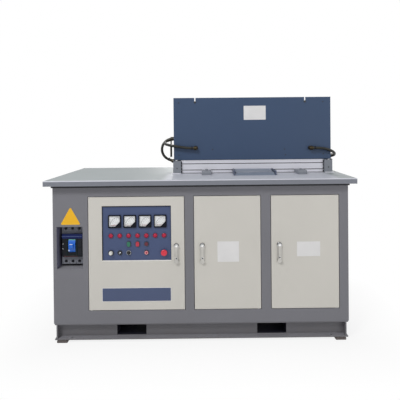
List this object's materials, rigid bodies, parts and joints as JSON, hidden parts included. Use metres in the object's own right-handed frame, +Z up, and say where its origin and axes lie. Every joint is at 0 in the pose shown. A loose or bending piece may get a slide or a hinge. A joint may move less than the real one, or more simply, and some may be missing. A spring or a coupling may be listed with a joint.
{
  "type": "induction heating machine",
  "caption": "Induction heating machine: a grey steel cabinet on a channel plinth, with cream doors, a control panel, and a through-feed coil unit on its tabletop",
  "frame": {"origin": "centre of the rectangle that the tabletop covers on the floor, at floor level", "axes": "+Z up; the control panel and doors face -Y; +X runs along the length, towards the coil unit's end"},
  "size_m": [1.95, 0.9, 1.565],
  "materials": {
    "machine_paint": "semi-gloss grey enamel on sheet steel",
    "door_paint": "semi-gloss cream enamel on sheet steel",
    "table_paint": "pale grey enamel on the steel tabletop",
    "blue_paint": "satin blue-grey enamel",
    "block_paint": "grey enamel on machined steel",
    "tray_paint": "blue-grey enamel on steel",
    "foot_iron": "painted cast foot pad",
    "zinc_sheet": "zinc-coated sheet",
    "zinc_steel": "zinc-plated steel",
    "lock_chrome": "chrome plate",
    "lock_satin": "satin chrome on a zinc casting",
    "brass_fittings": "plain brass",
    "black_moulding": "matt black moulding",
    "blue_moulding": "glossy blue moulding",
    "green_moulding": "glossy green moulding",
    "red_moulding": "glossy red moulding",
    "red_lens": "clear red lens",
    "white_moulding": "glossy white moulding",
    "white_dial": "matt white dial",
    "clear_glass": "clear window",
    "capacitor_alloy": "bare aluminium",
    "core_varnish": "varnished steel core and winding",
    "board_green": "lacquered circuit board",
    "bare_copper": "bare copper",
    "bed_alloy": "extruded aluminium",
    "heat_board": "heat-resistant board",
    "lining_ceramic": "cast ceramic lining",
    "hose_rubber": "black rubber hose"
  },
  "bodies": {
    "cabinet": {"plinth_frame": "machine_paint", "plinth_feet": "foot_iron", "cabinet_frame": "machine_paint", "side_panels": "machine_paint", "rear_panel": "machine_paint", "cabinet_floor": "zinc_sheet", "tabletop": "table_paint", "water_fittings": "brass_fittings", "breaker_recess": "zinc_sheet", "breaker_case": "black_moulding", "breaker_terminals": "zinc_steel", "hinge_pins": "zinc_steel", "capacitor_bank": "capacitor_alloy", "dc_reactor": "core_varnish", "power_stack": "capacitor_alloy", "control_board": "board_green", "busbars": "bare_copper", "coil_bed": "bed_alloy", "bed_end_blocks": "block_paint", "bed_clamps": "block_paint", "centre_tray": "tray_paint", "coil_front_panel": "blue_paint", "coil_end_plates": "heat_board", "coil_stay_bars": "heat_board", "coil": "bare_copper", "coil_lining": "lining_ceramic", "left_front_hose": "hose_rubber", "left_loop_hose": "hose_rubber", "right_hose": "hose_rubber"},
    "control_door_leaf": {"control_door": "door_paint", "control_lock_base": "lock_satin", "control_panel": "blue_paint", "meter_cases": "black_moulding", "meter_dials": "white_dial", "meter_windows": "clear_glass", "bezel_rings": "lock_chrome", "lamp_lenses": "red_lens"},
    "middle_door_leaf": {"middle_door": "door_paint", "middle_lock_base": "lock_satin"},
    "right_door_leaf": {"right_door": "door_paint", "right_lock_base": "lock_satin"},
    "control_spindle": {"control_lock_spindle": "lock_chrome"},
    "control_lever": {"control_lock_lever": "lock_satin"},
    "middle_spindle": {"middle_lock_spindle": "lock_chrome"},
    "middle_lever": {"middle_lock_lever": "lock_satin"},
    "right_spindle": {"right_lock_spindle": "lock_chrome"},
    "right_lever": {"right_lock_lever": "lock_satin"},
    "breaker_toggle_body": {"breaker_toggle": "blue_moulding"},
    "start_button_body": {"start_button": "green_moulding"},
    "stop_button_body": {"stop_button": "red_moulding"},
    "reset_button_body": {"reset_button": "red_moulding"},
    "power_knob_body": {"power_knob": "white_moulding"},
    "mode_switch_body": {"mode_switch": "lock_chrome"},
    "selector_switch_body": {"selector_switch": "black_moulding"},
    "ring_button_body": {"ring_button": "red_moulding"},
    "emergency_stop_body": {"emergency_stop": "red_moulding"},
    "meter_needle_1_body": {"meter_needle_1": "red_moulding"},
    "meter_needle_2_body": {"meter_needle_2": "red_moulding"},
    "meter_needle_3_body": {"meter_needle_3": "red_moulding"},
    "meter_needle_4_body": {"meter_needle_4": "red_moulding"}
  },
  "joints": [
    {"name": "control_door_hinge", "type": "hinge", "parent": "cabinet", "child": "control_door_leaf", "pos_m": [-0.695, -0.392, 0.5625], "axis": [0, 0, -1], "range_deg": [0, 110]},
    {"name": "middle_door_hinge", "type": "hinge", "parent": "cabinet", "child": "middle_door_leaf", "pos_m": [0.363, -0.392, 0.5625], "axis": [0, 0, 1], "range_deg": [0, 110]},
    {"name": "right_door_hinge", "type": "hinge", "parent": "cabinet", "child": "right_door_leaf", "pos_m": [0.858, -0.392, 0.5625], "axis": [0, 0, 1], "range_deg": [0, 110]},
    {"name": "control_lock_turn", "type": "hinge", "parent": "control_door_leaf", "child": "control_spindle", "pos_m": [-0.155, -0.4, 0.61], "axis": [0, -1, 0], "range_deg": [0, 90]},
    {"name": "control_lever_lift", "type": "hinge", "parent": "control_spindle", "child": "control_lever", "pos_m": [-0.155, -0.4128, 0.61], "axis": [-1, 0, 0], "range_deg": [0, 25]},
    {"name": "middle_lock_turn", "type": "hinge", "parent": "middle_door_leaf", "child": "middle_spindle", "pos_m": [0.008, -0.4, 0.61], "axis": [0, -1, 0], "range_deg": [0, 90]},
    {"name": "middle_lever_lift", "type": "hinge", "parent": "middle_spindle", "child": "middle_lever", "pos_m": [0.008, -0.4128, 0.61], "axis": [-1, 0, 0], "range_deg": [0, 25]},
    {"name": "right_lock_turn", "type": "hinge", "parent": "right_door_leaf", "child": "right_spindle", "pos_m": [0.495, -0.4, 0.61], "axis": [0, -1, 0], "range_deg": [0, 90]},
    {"name": "right_lever_lift", "type": "hinge", "parent": "right_spindle", "child": "right_lever", "pos_m": [0.495, -0.4128, 0.61], "axis": [-1, 0, 0], "range_deg": [0, 25]},
    {"name": "breaker_switch", "type": "hinge", "parent": "cabinet", "child": "breaker_toggle_body", "pos_m": [-0.824, -0.2875, 0.607], "axis": [1, 0, 0], "range_deg": [-9, 9]},
    {"name": "meter_1_reading", "type": "hinge", "parent": "control_door_leaf", "child": "meter_needle_1_body", "pos_m": [-0.521, -0.3955, 0.7405], "axis": [0, 1, 0], "range_deg": [0, 90], "stiffness_Nm_per_rad": 0.002},
    {"name": "meter_2_reading", "type": "hinge", "parent": "control_door_leaf", "child": "meter_needle_2_body", "pos_m": [-0.425, -0.3955, 0.7405], "axis": [0, 1, 0], "range_deg": [0, 90], "stiffness_Nm_per_rad": 0.002},
    {"name": "meter_3_reading", "type": "hinge", "parent": "control_door_leaf", "child": "meter_needle_3_body", "pos_m": [-0.329, -0.3955, 0.7405], "axis": [0, 1, 0], "range_deg": [0, 90], "stiffness_Nm_per_rad": 0.002},
    {"name": "meter_4_reading", "type": "hinge", "parent": "control_door_leaf", "child": "meter_needle_4_body", "pos_m": [-0.233, -0.3955, 0.7405], "axis": [0, 1, 0], "range_deg": [0, 90], "stiffness_Nm_per_rad": 0.002},
    {"name": "start_button_press", "type": "slide", "parent": "control_door_leaf", "child": "start_button_body", "axis": [0, 1, 0], "range_m": [0, 0.0035], "stiffness_N_per_m": 300},
    {"name": "stop_button_press", "type": "slide", "parent": "control_door_leaf", "child": "stop_button_body", "axis": [0, 1, 0], "range_m": [0, 0.0035], "stiffness_N_per_m": 300},
    {"name": "reset_button_press", "type": "slide", "parent": "control_door_leaf", "child": "reset_button_body", "axis": [0, 1, 0], "range_m": [0, 0.0035], "stiffness_N_per_m": 300},
    {"name": "ring_button_press", "type": "slide", "parent": "control_door_leaf", "child": "ring_button_body", "axis": [0, 1, 0], "range_m": [0, 0.0035], "stiffness_N_per_m": 300},
    {"name": "emergency_stop_press", "type": "slide", "parent": "control_door_leaf", "child": "emergency_stop_body", "axis": [0, 1, 0], "range_m": [0, 0.006], "stiffness_N_per_m": 300},
    {"name": "power_knob_turn", "type": "hinge", "parent": "control_door_leaf", "child": "power_knob_body", "pos_m": [-0.569, -0.391, 0.566], "axis": [0, 1, 0], "range_deg": [0, 270]},
    {"name": "selector_switch_turn", "type": "hinge", "parent": "control_door_leaf", "child": "selector_switch_body", "pos_m": [-0.457, -0.391, 0.566], "axis": [0, 1, 0], "range_deg": [0, 90]},
    {"name": "mode_switch_turn", "type": "hinge", "parent": "control_door_leaf", "child": "mode_switch_body", "pos_m": [-0.513, -0.388, 0.566], "axis": [1, 0, 0], "range_deg": [-12, 12]}
  ]
}
